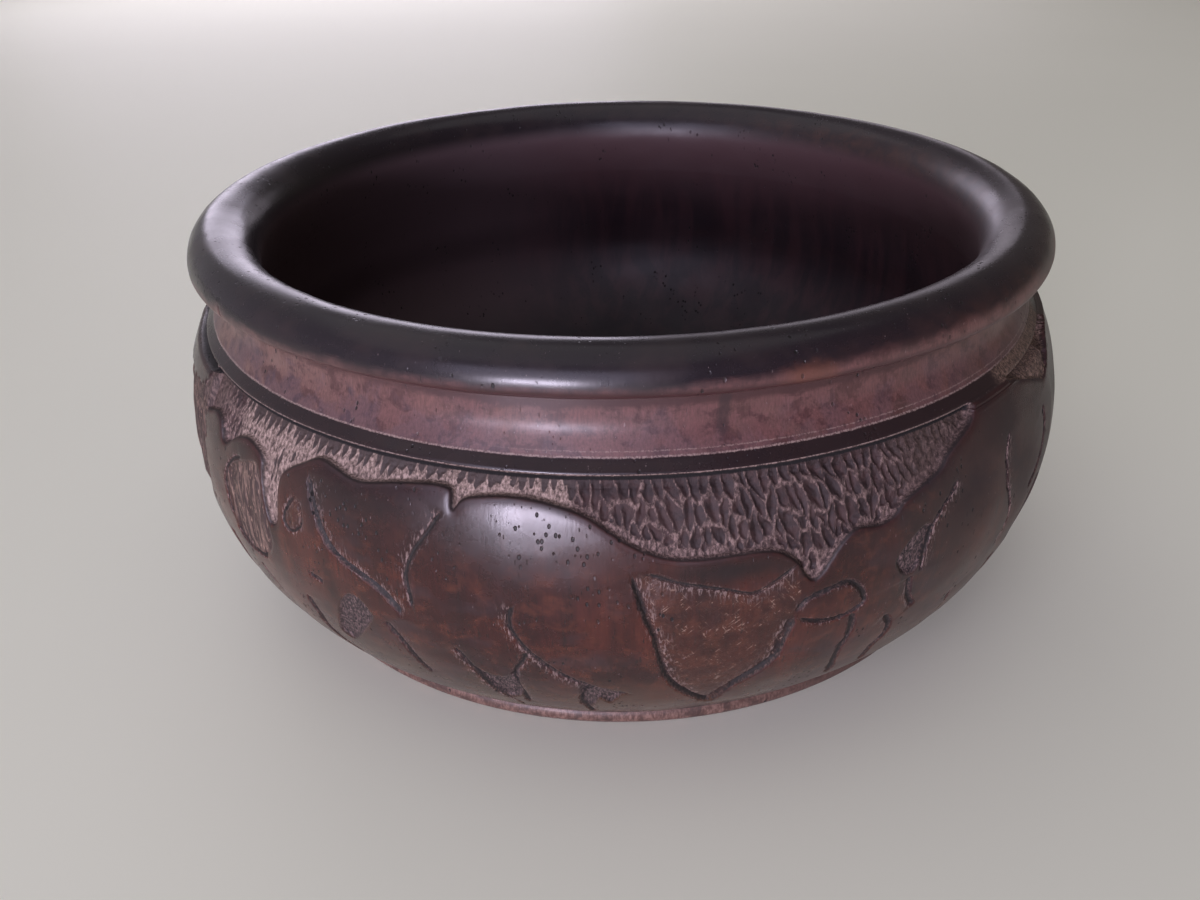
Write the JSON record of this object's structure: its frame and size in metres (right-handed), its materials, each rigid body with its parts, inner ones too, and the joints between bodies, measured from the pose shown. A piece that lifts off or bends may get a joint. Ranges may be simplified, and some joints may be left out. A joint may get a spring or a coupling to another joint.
{
  "type": "carved wooden bowl",
  "caption": "Round, dark hardwood bowl with a thick rolled rim, coved neck, bellied wall carved with elephants in low relief, and a low foot ring; holds fruit or stands as an ornament.",
  "frame": {"origin": "centre of the foot ring, on the surface that the bowl stands on", "axes": "+Z is the bowl's own axis, up through the mouth; -Y faces the middle of the carved side seen from the front; +X is to the right of it"},
  "size_m": [0.253, 0.253, 0.1085],
  "materials": {
    "wood": "dark stained hardwood, oiled and polished, with cut-back ground left rough"
  },
  "bodies": {
    "root": {"bowl": "wood"}
  },
  "joints": []
}
